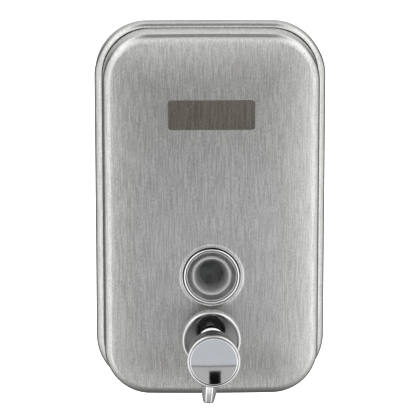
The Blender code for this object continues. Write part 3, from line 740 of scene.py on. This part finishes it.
def card(name, center, half_width, half_height, color, strength):
    """An upright reflection card that faces the case. Only mirror reflections show it."""
    bm = bmesh.new()
    c, u, v = Vector(center), Vector((half_width, 0, 0)), Vector((0, 0, half_height))
    bm.faces.new([bm.verts.new(p) for p in (c - u - v, c + u - v, c + u + v, c - u + v)])
    mesh = bpy.data.meshes.new(name)
    bm.to_mesh(mesh)
    bm.free()
    material = bpy.data.materials.new(name)
    material.use_nodes = True
    tree = material.node_tree
    tree.nodes.clear()
    glow = tree.nodes.new("ShaderNodeEmission")
    glow.inputs["Color"].default_value = (*color, 1.0)
    glow.inputs["Strength"].default_value = strength
    tree.links.new(glow.outputs[0], tree.nodes.new("ShaderNodeOutputMaterial").inputs["Surface"])
    mesh.materials.append(material)
    obj = bpy.data.objects.new(name, mesh)
    bpy.context.scene.collection.objects.link(obj)
    obj.visible_camera = False
    obj.visible_diffuse = False
    obj.visible_shadow = False
    obj.visible_transmission = False


# Light of the studio by direction, in degrees from the direction that the case's face mirrors to the camera.
# Sideways: a dim middle behind the camera, soft boxes at both sides, dark flags beside and behind the case.
ACROSS = [
    (-180, 0.9), (-168, 0.5), (-160, 0.14), (-118, 0.14), (-100, 1.0), (-60, 1.4), (-20, 1.75), (-12, 1.25),
    (-8, 0.38), (-5, 0.2), (5, 0.2), (8, 0.42), (12, 1.45), (20, 1.8), (60, 1.45), (100, 1.1), (118, 0.14),
    (160, 0.14), (168, 0.5), (180, 0.9),
]
# Up and down: a dim floor, a lighter band just below the dim middle, bright above it, dark beyond, and a
# bright strip behind the case.
UPWARD = [
    (-180, 0.5), (-120, 0.15), (-60, 0.25), (-34, 0.4), (-20, 0.5), (-13, 1.0), (-8, 1.15), (-4, 0.5),
    (4, 0.3), (9, 0.5), (16, 1.1), (40, 1.15), (62, 1.1), (80, 0.9), (95, 0.33), (160, 0.35),
    (172, 1.3), (180, 1.5),
]
MIRROR_TILT = 12.0
# Extra light from directions that are both sideways and up
CORNER_LIGHT = 0.8
STUDIO_STRENGTH = 2.0
WHITE_STRENGTH = 1.1
# Camera and floor, in metres and degrees
CAMERA_PLACE = (-0.0276, -1.15, 0.2139)
CAMERA_DOWN = 10.78
CAMERA_ASIDE = 1.393
CAMERA_LENS = 195.8
FLOOR_Z = -1.25
FLOOR_HALF = 30.0


def make_studio():
    """A soft studio as the world's light. The camera sees plain white."""
    world = bpy.data.worlds.new("studio")
    bpy.context.scene.world = world
    world.use_nodes = True
    tree = world.node_tree
    tree.nodes.clear()

    def add(kind, **inputs):
        node = tree.nodes.new(kind)
        for key, value in inputs.items():
            socket = node.inputs[int(key[1:])] if key[1:].isdigit() else node.inputs[key]
            if isinstance(value, bpy.types.NodeSocket):
                tree.links.new(value, socket)
            else:
                socket.default_value = value
        return node

    def calc(operation, a, b=0.0, c=0.0):
        node = add("ShaderNodeMath", i0=a, i1=b, i2=c)
        node.operation = operation
        return node.outputs[0]

    turn = add("ShaderNodeVectorRotate", Vector=add("ShaderNodeTexCoord").outputs["Generated"])
    turn.rotation_type = "X_AXIS"
    turn.inputs["Angle"].default_value = -math.radians(MIRROR_TILT)
    split = add("ShaderNodeSeparateXYZ", Vector=turn.outputs[0])
    x, y, z = split.outputs
    front = calc("MULTIPLY", y, -1.0)
    light_by = []
    for value, stops in ((x, ACROSS), (z, UPWARD)):
        share = calc("MULTIPLY_ADD", calc("ARCTAN2", value, front), 0.5 / math.pi, 0.5)
        ramp = add("ShaderNodeValToRGB", Fac=share)
        elements = ramp.color_ramp.elements
        while len(elements) < len(stops):
            elements.new(0.5)
        for element, (angle, level) in zip(elements, stops):
            element.position = 0.5 + angle / 360
            element.color = (level / 2, level / 2, level / 2, 1.0)
        light_by.append(ramp.outputs["Color"])
    xx, zz = calc("MULTIPLY", x, x), calc("MULTIPLY", z, z)
    weight = calc("DIVIDE", xx, calc("ADD", calc("ADD", xx, zz), 1e-5))
    blend = add("ShaderNodeMix")
    blend.data_type = "RGBA"
    tree.links.new(weight, blend.inputs["Factor"])
    sockets = [i for i in blend.inputs if i.type == "RGBA"]
    tree.links.new(light_by[1], sockets[0])
    tree.links.new(light_by[0], sockets[1])
    level = [o for o in blend.outputs if o.type == "RGBA"][0]
    slant = calc("MULTIPLY", calc("MULTIPLY", weight, calc("SUBTRACT", 1.0, weight)), 4.0)
    above = calc("MULTIPLY", calc("MAXIMUM", z, 0.0), calc("SUBTRACT", 1.0, front))
    level = calc("ADD", level, calc("MULTIPLY", calc("MULTIPLY", slant, above), CORNER_LIGHT))
    studio = add("ShaderNodeBackground", Color=level, Strength=STUDIO_STRENGTH)
    white = add("ShaderNodeBackground", Color=(1.0, 1.0, 1.0, 1.0), Strength=WHITE_STRENGTH)
    rays = add("ShaderNodeLightPath")
    seen = rays.outputs["Is Camera Ray"]
    mix = add("ShaderNodeMixShader", i0=seen, i1=studio.outputs[0], i2=white.outputs[0])
    add("ShaderNodeOutputWorld", Surface=mix.outputs[0])


def make_stage():
    """A pale floor far below, the studio's light, the cards and the camera."""
    bm = bmesh.new()
    corners = ((-1, -1), (1, -1), (1, 1), (-1, 1))
    bm.faces.new([bm.verts.new((x * FLOOR_HALF, y * FLOOR_HALF, FLOOR_Z)) for x, y in corners])
    mesh = bpy.data.meshes.new("floor")
    bm.to_mesh(mesh)
    bm.free()
    floor = bpy.data.objects.new("floor", mesh)
    bpy.context.scene.collection.objects.link(floor)
    n = Nodes("pale_floor")
    n.link(n.ramp(n.noise(3.0, 3.0), [(0.3, 0.90), (0.7, 0.93)]), "Base Color")
    n.set(Roughness=0.9, Specular_IOR_Level=0.0, Emission_Strength=0.75, Emission_Color=(1.0, 1.0, 1.0, 1.0))
    mesh.materials.append(n.material)
    floor.visible_glossy = False

    make_studio()
    # What the button's mirror front shows: a pale wall, a table's edge and top, and a tripod's head
    white = (1.0, 1.0, 1.0)
    card("wall_card", (0.028, -1.15, -0.262), 0.16, 0.102, (0.97, 1.0, 1.04), 0.63)
    card("table_edge_card", (0.028, -1.149, -0.367), 0.16, 0.005, white, 0.14)
    card("table_card", (0.028, -1.15, -0.435), 0.155, 0.07, (1.0, 0.985, 0.96), 0.52)
    card("tripod_card", (0.036, -1.148, -0.465), 0.04, 0.063, white, 0.004)
    card("tripod_foot_card", (0.037, -1.147, -0.54), 0.058, 0.018, white, 0.004)

    camera = bpy.data.cameras.new("camera")
    camera.lens = CAMERA_LENS
    camera.sensor_width = 36.0
    camera.clip_end = 100.0
    obj = bpy.data.objects.new("camera", camera)
    bpy.context.scene.collection.objects.link(obj)
    obj.location = CAMERA_PLACE
    obj.rotation_euler = (math.radians(90 - CAMERA_DOWN), 0.0, -math.radians(CAMERA_ASIDE))
    bpy.context.scene.camera = obj
    bpy.context.scene.view_settings.view_transform = "Standard"


# ---------------------------------------------------------------- assembly

def paint_cad(materials):
    """Gives the CAD nodes that stay their material, by the record's slot."""
    for part in frame["record"]["subparts"]:
        mesh = frame["nodes"][part["node"]].data
        mesh.materials.clear()
        mesh.materials.append(materials[part["material_slot"]])


def main():
    steel_tones = (0.415, 0.412, 0.402), (0.58, 0.577, 0.565)
    body = brushed_steel("brushed_stainless", *steel_tones, 0.195, 0.245, 0.04, 0.5)
    bracket = brushed_steel("zinc_steel", (0.38, 0.39, 0.40), (0.62, 0.62, 0.60), 0.32, 0.46, 0.2, 0.2, 1.5)
    spring = polished("spring_steel", (0.42, 0.42, 0.43), 0.2, 0.34)
    chrome = polished("chrome_plate", (0.80, 0.81, 0.83), 0.03, 0.07)
    brass = polished("plated_brass", (0.66, 0.64, 0.58), 0.18, 0.3)
    etched = brushed_steel("etched_plate", (0.085, 0.078, 0.068), (0.15, 0.14, 0.125), 0.5, 0.62, 0.2, 0.3)
    tank = moulded("tank_plastic", (0.72, 0.74, 0.74), 0.3, 0.45, Transmission_Weight=0.35)
    white = moulded("cap_plastic", (0.72, 0.72, 0.70), 0.32, 0.46)
    black = moulded("black_plastic", (0.022, 0.022, 0.024), 0.36, 0.5)
    rubber = moulded("black_rubber", (0.016, 0.016, 0.016), 0.66, 0.82, bump=0.3)
    # The sight window's clear plastic has painted shade, a painted highlight and a painted reflection in its
    # base colour.
    clear = clear_cup_painted_light("clear_plastic")
    paint_cad({
        "body_steel": body, "bracket_steel": bracket, "spring_steel": spring, "chrome_plate": chrome,
        "etched_plate": etched, "clear_plastic": clear, "tank_plastic": tank, "cap_plastic": white,
        "black_plastic": black, "black_rubber": rubber, "plated_brass": brass,
    })
    make_rear_shell(body)
    make_front_cover(body)
    make_nameplate(etched)
    make_window(chrome, clear)
    # The flange, spout and button get chrome with painted reflections in its base colour.
    make_rosette(flange_chrome_painted_reflections("chrome_flange_painted_reflections"))
    make_spout(nozzle_chrome_painted_reflections("chrome_nozzle_painted_reflections"))
    make_button(grooved_chrome_painted_reflections("chrome_grooved_painted_reflections"), chrome)
    make_spring(spring)
    make_stage()


main()
